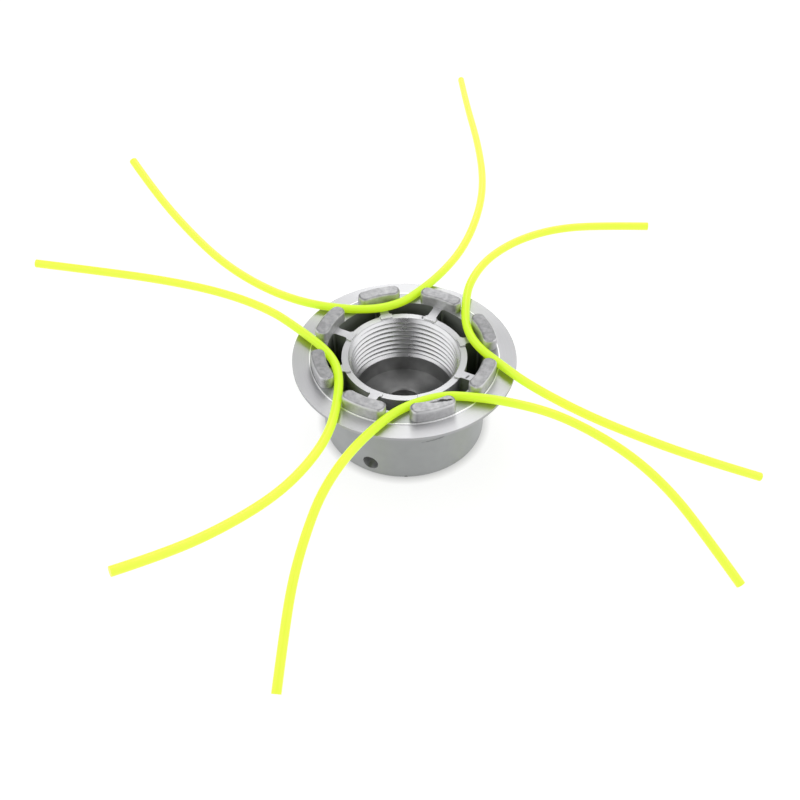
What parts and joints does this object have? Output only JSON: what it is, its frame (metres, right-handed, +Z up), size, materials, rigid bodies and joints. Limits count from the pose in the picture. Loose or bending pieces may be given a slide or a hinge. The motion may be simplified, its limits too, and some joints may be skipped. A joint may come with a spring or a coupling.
{
  "type": "trimmer head",
  "caption": "Fixed-line trimmer head: a flanged cast aluminium cup with lugs around a threaded hub, and nylon cutting lines hooked behind the lugs.",
  "frame": {"origin": "centre of the cup's flat foot, on the spindle axis", "axes": "+Z up the spindle axis towards the open, lugged side; +X to the right and +Y away from the viewer in the picture"},
  "size_m": [0.2688, 0.3474, 0.0535],
  "materials": {
    "cast_aluminium": "as cast, with turned flange, hub and thread",
    "nylon_line": "fluorescent yellow nylon"
  },
  "bodies": {
    "root": {"head_body": "cast_aluminium", "cutting_line_back": "nylon_line", "cutting_line_right": "nylon_line", "cutting_line_front": "nylon_line", "cutting_line_left": "nylon_line"}
  },
  "joints": []
}
